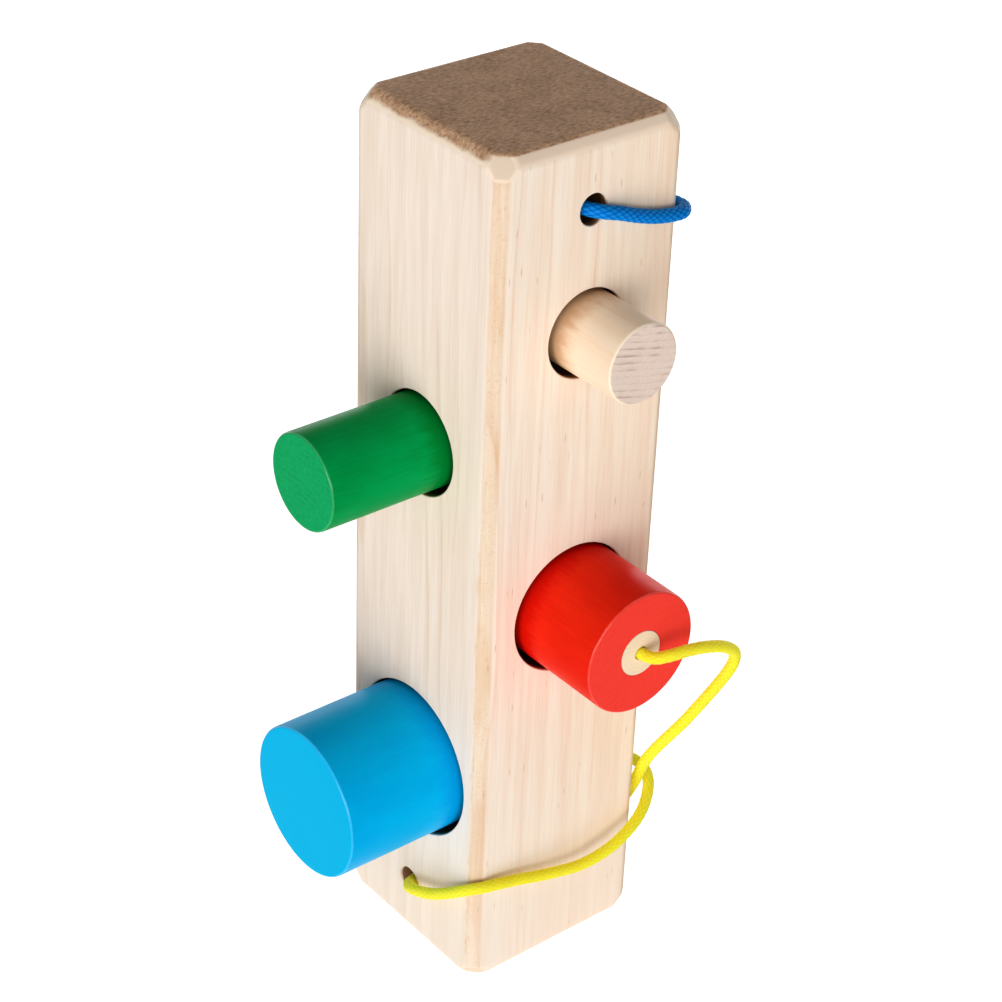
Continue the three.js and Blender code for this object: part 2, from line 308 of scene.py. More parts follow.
yellow_line = smooth_line(YELLOW_ROUTE, BRAID_STEP)
blue_line = smooth_line([(x, y, z + TOP_BORE_HEIGHT) for x, y, z in BLUE_ROUTE], BRAID_STEP)
yellow_cord = braided_tube("yellow_cord_braid", yellow_line, YELLOW_CORD_DIAMETER)
blue_cord = braided_tube("blue_cord_braid", blue_line, BLUE_CORD_DIAMETER)
peg_knot = make_knot(
    "red_peg_stopper_knot", (PEG_LEAN, PEG_PLUG_START + behind_plug, PEG_PLUG_HEIGHT), (0, 1, 0),
    PEG_PLUG_DIAMETER, PEG_KNOT_STRAND)
post_knot = make_knot(
    "low_bore_stopper_knot", (LOW_PLUG_START + behind_plug, 0, LOW_BORE_HEIGHT), (1, 0, 0),
    bore_outer, BORE_KNOT_STRAND)
loop_knot = make_knot(
    "top_bore_joining_knot", (0, -KNOT_LENGTH / 2, TOP_BORE_HEIGHT), (0, 1, 0),
    bore_outer, BORE_KNOT_STRAND)

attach(peg_knot, "red_peg")
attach(post_knot, "post")
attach(loop_knot, "post")
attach(blue_cord, "post")
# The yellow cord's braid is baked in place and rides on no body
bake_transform(yellow_cord)
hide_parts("yellow_cord")
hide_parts("blue_cord")
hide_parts("peg_knot")
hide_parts("post_knot")
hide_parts("blue_cord_knot")
yellow_pieces = (yellow_cord, peg_knot, post_knot)
blue_pieces = (blue_cord, loop_knot)


# Wooden pieces

def turned(profile, segments):
    """Vertices and faces of a piece turned about +Y, from (radius, distance) pairs in millimetres."""
    verts, faces, rings = [], [], []
    for radius, distance in profile:
        if radius < 1e-6:
            rings.append([len(verts)])
            verts.append(Vector((0, distance, 0)))
            continue
        rings.append(list(range(len(verts), len(verts) + segments)))
        for k in range(segments):
            angle = 2 * math.pi * k / segments
            verts.append(Vector((radius * math.cos(angle), distance, radius * math.sin(angle))))
    for a, b in zip(rings, rings[1:] + rings[:1]):
        if len(a) == 1 and len(b) == 1:
            continue
        for k in range(segments):
            n = (k + 1) % segments
            if len(a) == 1:
                faces.append((b[k], b[n], a[0]))
            elif len(b) == 1:
                faces.append((b[0], a[n], a[k]))
            else:
                faces.append((b[k], b[n], a[n], a[k]))
    return verts, faces


FROM_FRONT = Matrix.Identity(3)
FROM_LEFT = Matrix(((0, 1, 0), (-1, 0, 0), (0, 0, 1)))


def set_in(name, profile, segments, side, start, sideways, height):
    """A turned piece laid along a bore that starts at the front or the left of the post."""
    if side == "front":
        turn, shift = FROM_FRONT, Vector((sideways, start, height))
    else:
        turn, shift = FROM_LEFT, Vector((start, sideways, height))
    verts, faces = turned(profile, segments)
    return new_piece(name, [(turn @ v + shift) * MM for v in verts], faces)


def rounded_corner(radius, distance, size, steps, outward):
    """Quarter-round points from an end face to the side, at the near end (outward -1) or the far end (+1)."""
    points = []
    for i in range(steps + 1):
        angle = math.pi / 2 * i / steps
        points.append((radius - size + size * math.sin(angle),
                       distance - outward * size * (1 - math.cos(angle))))
    return points


def peg_profile(diameter, pocket):
    radius = diameter / 2
    near = rounded_corner(radius, 0, PEG_EDGE_ROUND, PEG_EDGE_STEPS, -1)
    far = rounded_corner(radius, PEG_LENGTH, PEG_EDGE_ROUND, PEG_EDGE_STEPS, 1)[::-1]
    if pocket:
        wall = PEG_PLUG_DIAMETER / 2 + SEAT_GAP
        start = [(0, PEG_POCKET_DEPTH), (wall, PEG_POCKET_DEPTH), (wall, PEG_POCKET_EDGE),
                 (wall + PEG_POCKET_EDGE, 0)]
    else:
        start = [(0, 0), (radius * 0.5, 0)]
    return start + near + far + [(radius * 0.5, PEG_LENGTH), (0, PEG_LENGTH)]


def plug_profile(bore):
    radius, hole, soft = bore / 2 - PLUG_GAP, PLUG_HOLE / 2, PLUG_EDGE
    return [(hole, soft), (hole + soft, 0), (radius - soft, 0), (radius, soft), (radius, PLUG_LENGTH - soft),
            (radius - soft, PLUG_LENGTH), (hole + soft, PLUG_LENGTH), (hole, PLUG_LENGTH - soft)]


def hole_profile(diameter, depth, through):
    """What a drill takes away, with its mouth softened; it runs past the faces that it breaks."""
    radius, soft = diameter / 2, RIM_SOFTENING
    mouth = [(0, -DRILL_OVERRUN), (radius + soft, -DRILL_OVERRUN), (radius + soft, -0.15 * soft),
             (radius + 0.3 * soft, 0.45 * soft), (radius, 1.2 * soft)]
    if not through:
        return mouth + [(radius, depth), (0, depth)]
    return mouth + [(r, depth - y) for r, y in mouth[::-1]]


def post_block():
    """The squared timber, with every edge chamfered and every corner cut, its arrises softened."""
    block = bmesh.new()
    insets = (0, EDGE_CHAMFER, CORNER_CUT - EDGE_CHAMFER)
    for sx, sy, sz in product((-1, 1), repeat=3):
        for ix, iy, iz in permutations(insets):
            x, y = sx * (POST_WIDTH / 2 - ix), sy * (POST_WIDTH / 2 - iy)
            z = POST_HEIGHT - iz if sz > 0 else iz
            block.verts.new(Vector((x, y, z)) * MM)
    bmesh.ops.convex_hull(block, input=block.verts)
    bmesh.ops.dissolve_limit(block, angle_limit=0.01, verts=block.verts, edges=block.edges)
    bmesh.ops.bevel(block, geom=block.edges[:], offset=EDGE_SOFTENING * MM, segments=3, profile=0.6,
                    affect="EDGES", clamp_overlap=True)
    mesh = bpy.data.meshes.new("post_block")
    block.to_mesh(mesh)
    block.free()
    return show("post_block", mesh)


def drill(block, cutters):
    for cutter in cutters:
        cut = block.modifiers.new("drill", "BOOLEAN")
        cut.operation, cut.object, cut.solver = "DIFFERENCE", cutter, "EXACT"
    bpy.context.view_layer.update()
    drilled = bpy.data.meshes.new_from_object(block.evaluated_get(bpy.context.evaluated_depsgraph_get()))
    block.modifiers.clear()
    old = block.data
    block.data = drilled
    bpy.data.meshes.remove(old)
    for cutter in cutters:
        mesh = cutter.data
        bpy.data.objects.remove(cutter)
        bpy.data.meshes.remove(mesh)


drills = []
for name, peg in PEGS.items():
    profile = hole_profile(peg["diameter"] + HOLE_CLEARANCE, POST_WIDTH, True)
    drills.append(set_in(f"drill_{name}", profile, HOLE_SEGMENTS, peg["side"], NEAR_FACE, 0, peg["height"]))
drills.append(set_in("drill_top", hole_profile(CORD_BORE, POST_WIDTH, True), SMALL_SEGMENTS, "front",
                     NEAR_FACE, 0, TOP_BORE_HEIGHT))
drills.append(set_in("drill_low", hole_profile(CORD_BORE, LOW_BORE_DEPTH, False), SMALL_SEGMENTS, "left",
                     NEAR_FACE, 0, LOW_BORE_HEIGHT))
post = post_block()
drill(post, drills)

pieces = {"post": post}
for name, peg in PEGS.items():
    profile = peg_profile(peg["diameter"], name == "red_peg")
    pieces[name] = set_in(f"{name}_turned", profile, PEG_SEGMENTS, peg["side"],
                          NEAR_FACE - peg["stand_out"], PEG_LEAN, peg["height"])
pieces["peg_plug"] = set_in("red_peg_plug", plug_profile(PEG_PLUG_DIAMETER + 2 * SEAT_GAP), SMALL_SEGMENTS,
                            "front", PEG_PLUG_START, PEG_LEAN, PEG_PLUG_HEIGHT)
pieces["post_plug"] = set_in("low_bore_plug", plug_profile(CORD_BORE), LOW_PLUG_SEGMENTS,
                             "left", LOW_PLUG_START, 0, LOW_BORE_HEIGHT)

BODY_OF = {"post": "post", "post_plug": "post", "peg_plug": "red_peg"}
for name, piece in pieces.items():
    smooth_with_creases(piece)
    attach(piece, BODY_OF.get(name, name))
    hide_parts(name)


# Material helpers

def srgb(red, green, blue):
    """A colour as it looks on a screen, 0 to 255, as the shader's linear one."""
    def linear(value):
        value /= 255
        return value / 12.92 if value <= 0.04045 else ((value + 0.055) / 1.055) ** 2.4
    return (linear(red), linear(green), linear(blue), 1.0)


def feed(tree, socket, value):
    """Link another node's output to the socket, or set a plain value on it."""
    if isinstance(value, bpy.types.NodeSocket):
        tree.links.new(value, socket)
    else:
        socket.default_value = value


def add_node(tree, kind, inputs=(), **settings):
    made = tree.nodes.new(kind)
    for name, value in settings.items():
        setattr(made, name, value)
    for key, value in dict(inputs).items():
        feed(tree, made.inputs[key], value)
    return made


def calc(tree, operation, a, b=0.0, clamp=False):
    made = add_node(tree, "ShaderNodeMath", {0: a, 1: b}, operation=operation, use_clamp=clamp)
    return made.outputs[0]


def times(tree, value, *factors):
    for factor in factors:
        value = calc(tree, "MULTIPLY", value, factor)
    return value


def span(tree, value, low, high, to_low=0.0, to_high=1.0):
    made = add_node(tree, "ShaderNodeMapRange", {
        "Value": value, "From Min": low, "From Max": high, "To Min": to_low, "To Max": to_high},
        interpolation_type="SMOOTHSTEP")
    return made.outputs["Result"]


def weighted_sum(tree, *terms):
    total = None
    for value, weight in terms:
        term = times(tree, value, weight)
        total = term if total is None else calc(tree, "ADD", total, term)
    return calc(tree, "ADD", total, 0.0, clamp=True)


def blend_colour(tree, share, a, b, how="MIX"):
    made = add_node(tree, "ShaderNodeMix", data_type="RGBA", blend_type=how)
    for index, value in ((0, share), (6, a), (7, b)):
        feed(tree, made.inputs[index], value)
    return made.outputs[2]


def vector_math(tree, operation, a, b=None):
    inputs = {0: a} if b is None else {0: a, 1: b}
    return add_node(tree, "ShaderNodeVectorMath", inputs, operation=operation).outputs


def stretch(tree, vector, x, y, z):
    return vector_math(tree, "MULTIPLY", vector, (x, y, z))[0]


def split(tree, vector):
    return add_node(tree, "ShaderNodeSeparateXYZ", {0: vector}).outputs


def noise(tree, vector, detail=2.0, roughness=0.5):
    made = add_node(tree, "ShaderNodeTexNoise", {
        "Vector": vector, "Scale": 1.0, "Detail": detail, "Roughness": roughness})
    return made.outputs["Fac"]


def ragged(tree, value, vector, reach, detail, roughness):
    """The value, in millimetres, moved to and fro by noise over the given reach."""
    swing = calc(tree, "SUBTRACT", noise(tree, vector, detail, roughness), 0.5)
    return calc(tree, "ADD", value, times(tree, swing, reach))


# Shared effects, as node groups

VECTOR, VALUE = "NodeSocketVector", "NodeSocketFloat"


def new_group(name, inputs, outputs):
    group = bpy.data.node_groups.new(name, "ShaderNodeTree")
    for label, kind, value in inputs:
        socket = group.interface.new_socket(label, in_out="INPUT", socket_type=kind)
        if value is not None:
            socket.default_value = value
    for label in outputs:
        group.interface.new_socket(label, in_out="OUTPUT", socket_type=VALUE)
    return group, group.nodes.new("NodeGroupInput").outputs, group.nodes.new("NodeGroupOutput").inputs


def grain_group():
    """Growth rings, fibres and short flecks of a pale hardwood, with the trunk along Z, in millimetres."""
    tree, given, out = new_group("wood_grain", [
        ("Place", VECTOR, None), ("Heart", VECTOR, (90.0, 40.0, 0.0)), ("Ring Width", VALUE, 3.0),
        ("Wander", VALUE, 10.0),
    ], ["Rings", "Fibres", "Streaks", "Flecks"])
    place = given["Place"]
    from_heart = vector_math(tree, "SUBTRACT", place, given["Heart"])[0]
    reach = vector_math(tree, "LENGTH", stretch(tree, from_heart, 1, 1, 0))["Value"]
    drift = noise(tree, stretch(tree, place, 0.03, 0.03, 0.005), 3.0)
    reach = calc(tree, "ADD", reach, times(tree, drift, given["Wander"]))
    ring = calc(tree, "FRACT", calc(tree, "DIVIDE", reach, given["Ring Width"]))
    late = times(tree, calc(tree, "POWER", ring, 4.0), span(tree, ring, 1.0, 0.92))
    strength = noise(tree, stretch(tree, place, 0.13, 0.13, 0.004), 1.0)
    tree.links.new(times(tree, late, span(tree, strength, 0.35, 0.7, 0.15, 1.3)), out["Rings"])
    tree.links.new(noise(tree, stretch(tree, place, 2.4, 2.4, 0.05), 4.0, 0.6), out["Fibres"])
    tree.links.new(noise(tree, stretch(tree, place, 0.3, 0.3, 0.012), 2.0), out["Streaks"])
    cells = add_node(tree, "ShaderNodeTexVoronoi", {
        "Vector": stretch(tree, place, 0.5, 0.5, 0.09), "Scale": 1.0, "Randomness": 1.0}).outputs
    draw = add_node(tree, "ShaderNodeSeparateColor", {0: cells["Color"]}).outputs[0]
    fleck = times(tree, span(tree, cells["Distance"], 0.2, 0.05), span(tree, draw, 0.66, 0.86))
    tree.links.new(fleck, out["Flecks"])
    return tree


def cut_group():
    """Masks from the way a surface faces, with the grain along Z: sawn ends, sloping cuts and rims."""
    tree, given, out = new_group("wood_cuts", [("Facing", VECTOR, None)], [
        "End", "Rim", "Long Chamfer", "Side Chamfer", "Front Chamfer", "Corner", "Front", "Arris"])
    x, y, z = split(tree, vector_math(tree, "ABSOLUTE", given["Facing"])[0])

    def slope(a, b):
        return span(tree, calc(tree, "MINIMUM", a, b), 0.2, 0.5)

    upright, sideways, forward = slope(x, y), slope(x, z), slope(y, z)
    corner = times(tree, upright, sideways, forward)
    no_corner = calc(tree, "SUBTRACT", 1.0, corner)
    masks = {
        "End": span(tree, z, 0.82, 0.97),
        "Rim": times(tree, span(tree, z, 0.2, 0.6), span(tree, z, 0.97, 0.75)),
        "Long Chamfer": times(tree, upright, no_corner),
        "Side Chamfer": times(tree, sideways, no_corner),
        "Front Chamfer": times(tree, forward, no_corner),
        "Corner": corner,
        "Front": span(tree, y, 0.3, 0.6),
        "Arris": times(tree, span(tree, y, 0.06, 0.25), span(tree, y, 0.6, 0.4), span(tree, z, 0.3, 0.1)),
    }
    for name, mask in masks.items():
        tree.links.new(mask, out[name])
    return tree


def bore_group():
    """Painted shade in the post's bores, from how far inside them a place is: browned near the mouth, dark
    farther in, in millimetres.
    """
    tree, given, out = new_group("bore_painted_shade", [("Place", VECTOR, None)], ["Brown", "Dark"])
    x, y, z = split(tree, vector_math(tree, "ABSOLUTE", given["Place"])[0])
    depth = calc(tree, "SUBTRACT", POST_WIDTH / 2, calc(tree, "MAXIMUM", x, y))
    top, above_low_bore = POST_HEIGHT - CORNER_CUT, LOW_BORE_HEIGHT + CORD_BORE
    between_ends = times(tree, span(tree, z, CORNER_CUT, CORNER_CUT + 1), span(tree, z, top, top - 1))
    dark_holes = span(tree, z, above_low_bore, above_low_bore + 4, 0.2, 1.0)
    tree.links.new(times(tree, span(tree, depth, 0.5, 1.2), between_ends), out["Brown"])
    tree.links.new(times(tree, span(tree, depth, 0.8, 3.5), dark_holes, between_ends), out["Dark"])
    return tree


def braid_group():
    """Stitches of a round braid from its own coordinates: strands around, stitches along."""
    tree, given, out = new_group("braid_stitches", [("Stitch", VECTOR, None)], ["Crown", "Yarn"])
    around, along, _ = split(tree, given["Stitch"])
    a, b = calc(tree, "ADD", around, along), calc(tree, "SUBTRACT", around, along)
    cell = calc(tree, "ADD", calc(tree, "FLOOR", a), calc(tree, "FLOOR", b))
    over = calc(tree, "GREATER_THAN", calc(tree, "FLOORED_MODULO", cell, 2.0), 0.5)

    def pick(first, second):
        return add_node(tree, "ShaderNodeMix", {0: over, 2: first, 3: second}, data_type="FLOAT").outputs[0]

    def crown(value, flatness):
        half_turn = times(tree, calc(tree, "FRACT", value), math.pi)
        return calc(tree, "POWER", calc(tree, "SINE", half_turn), flatness)

    across, run = pick(a, b), pick(b, a)
    tree.links.new(times(tree, crown(across, CROWN_ACROSS), crown(run, CROWN_ALONG)), out["Crown"])
    yarn_place = add_node(tree, "ShaderNodeCombineXYZ", {
        0: times(tree, across, 9.0), 1: times(tree, run, 1.1), 2: 0.0}).outputs[0]
    tree.links.new(noise(tree, yarn_place, 2.0), out["Yarn"])
    return tree


GRAIN, CUTS, BORE_SHADE, BRAID = grain_group(), cut_group(), bore_group(), braid_group()


# Colours of the post, then of bare turned wood

LEFT_PALE, LEFT_DARK = srgb(248, 233, 219), srgb(227, 201, 176)
FRONT_PALE = srgb(254, 242, 226), srgb(254, 236, 213)
FRONT_DARK = srgb(240, 207, 178), srgb(240, 200, 167)
LEFT_FOOT, FRONT_FOOT = srgb(242, 227, 208), srgb(251, 236, 222)
FLECK = srgb(206, 172, 138)
CHAMFER_PALE, CHAMFER_WARM, CHAMFER_SPECK = srgb(238, 232, 223), srgb(232, 216, 197), srgb(226, 192, 152)
WORN_ARRIS = srgb(224, 178, 128)
# Colours of the cuts round the ends; the two chamfer colours are paled as painted light, for the up-facing cuts
# at the top
END_CUTS = {
    "Corner": srgb(235, 212, 187), "Front Chamfer": srgb(255, 230, 205), "Side Chamfer": srgb(255, 234, 208),
}
SAWN_PALE, SAWN_DARK = srgb(250, 204, 163), srgb(152, 109, 79)
# Painted shade inside the bores: brown near the mouth, dark deeper in
BORE_PAINTED_SHADE = {"Brown": srgb(142, 100, 66), "Dark": srgb(66, 44, 29)}
# Browner rubbed wood, with painted shade, round a bare peg where it enters the post
RUBBED_AND_SHADED_WOOD = srgb(196, 146, 98)
RIM_WOOD = srgb(255, 240, 214)


# Materials

def new_material(name):
    material = bpy.data.materials.new(name)
    material.use_nodes = True
    tree = material.node_tree
    tree.nodes.clear()
    shader = add_node(tree, "ShaderNodeBsdfPrincipled")
    ending = add_node(tree, "ShaderNodeOutputMaterial", {"Surface": shader.outputs[0]})
    return material, tree, shader, ending


def set_inputs(tree, shader, values):
    for name, value in values.items():
        feed(tree, shader.inputs[name], value)


def place_group(tree, group, **inputs):
    made = add_node(tree, "ShaderNodeGroup", node_tree=group)
    set_inputs(tree, made, {key.replace("_", " "): value for key, value in inputs.items()})
    return made.outputs


def along_grain(tree, vector, side):
    """The vector with its third part along the grain: upright in the post, along a peg from front or left."""
    if side == "upright":
        return vector
    parts = split(tree, vector)
    order = (0, 2, 1) if side == "front" else (1, 2, 0)
    return add_node(tree, "ShaderNodeCombineXYZ", {i: parts[k] for i, k in enumerate(order)}).outputs[0]


def wood_places(tree, side):
    coords = add_node(tree, "ShaderNodeTexCoord").outputs
    place = stretch(tree, coords["Object"], 1 / MM, 1 / MM, 1 / MM)
    return along_grain(tree, place, side), along_grain(tree, coords["Normal"], side)


def raise_surface(tree, shader, height, distance_mm, strength):
    bump = add_node(tree, "ShaderNodeBump", {
        "Height": height, "Distance": distance_mm * MM, "Strength": strength})
    tree.links.new(bump.outputs[0], shader.inputs["Normal"])


def sawn_speckle(tree, place):
    """Torn fibre ends, from fine to coarse, 0 to 1."""
    fine = noise(tree, stretch(tree, place, 0.5, 1.1, 1.1), 5.0, 0.75)
    coarse = noise(tree, stretch(tree, place, 0.09, 0.09, 0.09), 3.0, 0.6)
    return weighted_sum(tree, (span(tree, fine, 0.3, 0.72), 0.85), (span(tree, coarse, 0.3, 0.7), 0.25))


def torn_edge_and_shade(tree, place):
    """Brown where the sawn top runs out over its edges: a ragged band of painted shade on the side chamfers, as
    dark as the sawn top, and a thread of torn fibres in front.
    """
    x, y, z = split(tree, place)
    side_edge, lower_edge = POST_WIDTH / 2 - EDGE_CHAMFER, POST_HEIGHT - EDGE_CHAMFER
    height = ragged(tree, z, stretch(tree, place, 0.2, 0.2, 0.06), 2.0, 2.0, 0.45)
    on_side = span(tree, calc(tree, "ABSOLUTE", x), side_edge - 2, side_edge - 1)
    clear_of_front = span(tree, y, NEAR_FACE + CORNER_CUT / 2, NEAR_FACE + CORNER_CUT)
    side_band = times(tree, span(tree, height, lower_edge + 0.4, lower_edge + 1.6), on_side, clear_of_front)
    return calc(tree, "MAXIMUM", side_band, span(tree, z, POST_HEIGHT - 0.9, POST_HEIGHT - 0.5))


def rubbed_and_shaded_root(tree, place):
    """1 round a peg where it enters the post, rubs on the hole's edge and lies in the hole's shade, fading to 0
    both ways along it: rub marks with painted shade.
    """
    along = split(tree, place)[2]
    from_face = ragged(tree, along, stretch(tree, place, 0.4, 0.4, 0.12), 8.0, 3.0, 0.6)
    outward = span(tree, from_face, NEAR_FACE - 9, NEAR_FACE)
    inward = span(tree, from_face, NEAR_FACE + 16, NEAR_FACE + 1)
    return times(tree, outward, inward)


def planed_faces(tree, place, grain, cuts, figure):
    """Pale planed wood: cooler on the sides, yellower towards the front's far edge, paler at the foot."""
    x, _, height = split(tree, place)
    across = span(tree, x, -POST_WIDTH / 2, POST_WIDTH / 2)
    pale = blend_colour(tree, cuts["Front"], LEFT_PALE, blend_colour(tree, across, *FRONT_PALE))
    dark = blend_colour(tree, cuts["Front"], LEFT_DARK, blend_colour(tree, across, *FRONT_DARK))
    wood = blend_colour(tree, figure, pale, dark)
    wood = blend_colour(tree, times(tree, grain["Flecks"], 0.55), wood, FLECK)
    foot = blend_colour(tree, cuts["Front"], LEFT_FOOT, FRONT_FOOT)
    return blend_colour(tree, span(tree, height, 85.0, 25.0, 0.0, 0.4), wood, foot)


def worn_edges(tree, place, cuts, speckle, wood):
    """Warm cloudy chamfers with rubbed arrises along the post, and plain cuts round its two ends, their
    chamfers paled as painted light for the light the top's up-facing cuts don't get.
    """
    height = split(tree, place)[2]
    drift = noise(tree, stretch(tree, place, 0.1, 0.1, 0.03), 3.0, 0.6)
    chamfer = blend_colour(tree, span(tree, drift, 0.38, 0.62), CHAMFER_PALE, CHAMFER_WARM)
    specks = times(tree, span(tree, speckle, 0.62, 0.95), 0.5)
    chamfer = blend_colour(tree, specks, chamfer, CHAMFER_SPECK)
    warm = times(tree, cuts["Long Chamfer"], span(tree, height, 0.0, 100.0, 0.7, 1.0))
    wood = blend_colour(tree, warm, wood, chamfer, "MULTIPLY")
    worn = noise(tree, stretch(tree, place, 0.5, 0.5, 0.16), 3.0, 0.7)
    arris = times(tree, cuts["Arris"], span(tree, worn, 0.45, 0.7, 0.0, 0.6),
                  span(tree, height, 190.0, 150.0, 0.3, 1.0))
    wood = blend_colour(tree, arris, wood, WORN_ARRIS)
    for cut, colour in END_CUTS.items():
        wood = blend_colour(tree, cuts[cut], wood, colour)
    return wood


def post_timber():
    """Planed pale timber: faint upright lines, warm chamfers, brown sawn ends, painted light and shade on the
    cuts round the top, and painted shade in the drilled bores.
    """
    material, tree, shader, _ = new_material("post_timber")
    place, facing = wood_places(tree, "upright")
    grain = place_group(tree, GRAIN, Place=place, Heart=(95.0, 60.0, 0.0), Ring_Width=3.1, Wander=12.0)
    cuts = place_group(tree, CUTS, Facing=facing)
    bores = place_group(tree, BORE_SHADE, Place=place)
    speckle = sawn_speckle(tree, place)
    figure = weighted_sum(tree, (grain["Rings"], 0.5), (span(tree, grain["Streaks"], 0.34, 0.68), 0.3),
                          (span(tree, grain["Fibres"], 0.3, 0.7), 0.32))
    wood = planed_faces(tree, place, grain, cuts, figure)
    wood = worn_edges(tree, place, cuts, speckle, wood)
    # The sawn ends and the band of painted shade on the top's side chamfers take the sawn top's brown
    sawn_end_and_shade_band = calc(tree, "MAXIMUM", cuts["End"], torn_edge_and_shade(tree, place))
    wood = blend_colour(tree, sawn_end_and_shade_band, wood, blend_colour(tree, speckle, SAWN_PALE, SAWN_DARK))
    # Painted shade in the bores, kept off the long chamfers
    off_chamfer = calc(tree, "SUBTRACT", 1.0, cuts["Long Chamfer"])
    for depth, colour in BORE_PAINTED_SHADE.items():
        wood = blend_colour(tree, times(tree, bores[depth], off_chamfer), wood, colour)
    set_inputs(tree, shader, {
        "Base Color": wood, "Roughness": span(tree, figure, 0.0, 1.0, 0.56, 0.7), "Specular IOR Level": 0.1})
    relief = weighted_sum(tree, (grain["Fibres"], 0.5), (times(tree, speckle, sawn_end_and_shade_band), 1.0))
    raise_surface(tree, shader, relief, 0.05, 0.6)
    return material


def turned_wood(name, side, heart, ring_width, side_wood, end_wood, end_lines):
    """Bare turned wood: a nearly plain side, browner where it rubs and where painted shade falls at the post's
    face, and the growth rings across its end.
    """
    material, tree, shader, _ = new_material(name)
    place, facing = wood_places(tree, side)
    grain = place_group(tree, GRAIN, Place=place, Heart=heart, Ring_Width=ring_width, Wander=3.0)
    cuts = place_group(tree, CUTS, Facing=facing)
    speckle = sawn_speckle(tree, place)
    figure = weighted_sum(tree, (grain["Rings"], 0.25), (span(tree, grain["Streaks"], 0.35, 0.7), 0.25),
                          (span(tree, grain["Fibres"], 0.3, 0.75), 0.25))
    wood = blend_colour(tree, figure, *side_wood)
    wood = blend_colour(tree, times(tree, rubbed_and_shaded_root(tree, place), 0.85), wood, RUBBED_AND_SHADED_WOOD)
    lines = weighted_sum(tree, (grain["Rings"], end_lines), (speckle, 0.3))
    wood = blend_colour(tree, cuts["End"], wood, blend_colour(tree, lines, *end_wood))
    wood = blend_colour(tree, times(tree, cuts["Rim"], 0.6), wood, RIM_WOOD)
    set_inputs(tree, shader, {
        "Base Color": wood, "Roughness": span(tree, figure, 0.0, 1.0, 0.5, 0.62), "Specular IOR Level": 0.1})
    relief = weighted_sum(tree, (grain["Fibres"], 0.4), (times(tree, lines, cuts["End"]), 0.8))
    raise_surface(tree, shader, relief, 0.04, 0.5)
    return material


def painted_wood(name, side, side_paint, end_paint, rim_wear_and_highlight):
    """Even satin paint with the wood's fibres just showing, deeper round the root with painted shade, and
    lighter round the rims: thinner paint there, with a painted highlight.
    """
    material, tree, shader, _ = new_material(name)
    place, facing = wood_places(tree, side)
    grain = place_group(tree, GRAIN, Place=place, Heart=(20.0, 30.0, 0.0), Ring_Width=2.2, Wander=4.0)
    cuts = place_group(tree, CUTS, Facing=facing)
    cloud = noise(tree, stretch(tree, place, 0.09, 0.09, 0.05), 3.0)
    mottle = noise(tree, stretch(tree, place, 0.7, 0.7, 0.7), 4.0, 0.6)
    # Deeper paint in clouds and fibres, and round the root, where rub marks and painted shade darken it
    depth = weighted_sum(tree, (span(tree, cloud, 0.3, 0.75), 0.35),
                         (span(tree, grain["Fibres"], 0.35, 0.7), 0.25), (grain["Flecks"], 0.2),
                         (rubbed_and_shaded_root(tree, place), 0.9))
    end_depth = weighted_sum(tree, (span(tree, mottle, 0.35, 0.7), 0.5), (grain["Rings"], 0.5))
    paint = blend_colour(tree, cuts["End"], blend_colour(tree, depth, *side_paint),
                         blend_colour(tree, end_depth, *end_paint))
    # Lighter round the rims: thinner paint, with a painted highlight
    thin_rim_and_highlight = times(tree, cuts["Rim"], span(tree, mottle, 0.3, 0.7, 0.08, 0.35))
    set_inputs(tree, shader, {
        "Base Color": blend_colour(tree, thin_rim_and_highlight, paint, rim_wear_and_highlight),
        "Roughness": span(tree, mottle, 0.2, 0.8, 0.28, 0.4), "Specular IOR Level": 0.015,
        "Coat Weight": times(tree, cuts["Rim"], 0.8), "Coat Roughness": 0.18})
    relief = weighted_sum(tree, (grain["Fibres"], 0.4), (mottle, 0.4))
    relief = calc(tree, "SUBTRACT", relief, times(tree, grain["Flecks"], 0.6))
    raise_surface(tree, shader, relief, 0.05, 0.4)
    return material


def braided_cord(name, crown_highlight_colour, gap_shade_colour, light_through):
    """Smooth yarn laid in stitches, with a painted highlight on their crowns and painted shade between them,
    that lets some light through.
    """
    material, tree, shader, _ = new_material(name)
    coords = add_node(tree, "ShaderNodeUVMap", uv_map="braid").outputs[0]
    stitches = place_group(tree, BRAID, Stitch=coords)
    shade = times(tree, span(tree, stitches["Crown"], 0.1, 0.95),
                  span(tree, stitches["Yarn"], 0.25, 0.7, 0.75, 1.0))
    set_inputs(tree, shader, {
        "Base Color": blend_colour(tree, shade, gap_shade_colour, crown_highlight_colour),
        "Roughness": span(tree, shade, 0.0, 1.0, 0.75, 0.55), "Specular IOR Level": 0.04,
        "Subsurface Weight": light_through, "Subsurface Radius": (1.0, 1.0, 0.6),
        "Subsurface Scale": 4.5 * MM})
    raise_surface(tree, shader, stitches["Yarn"], 0.05, 0.5)
    return material


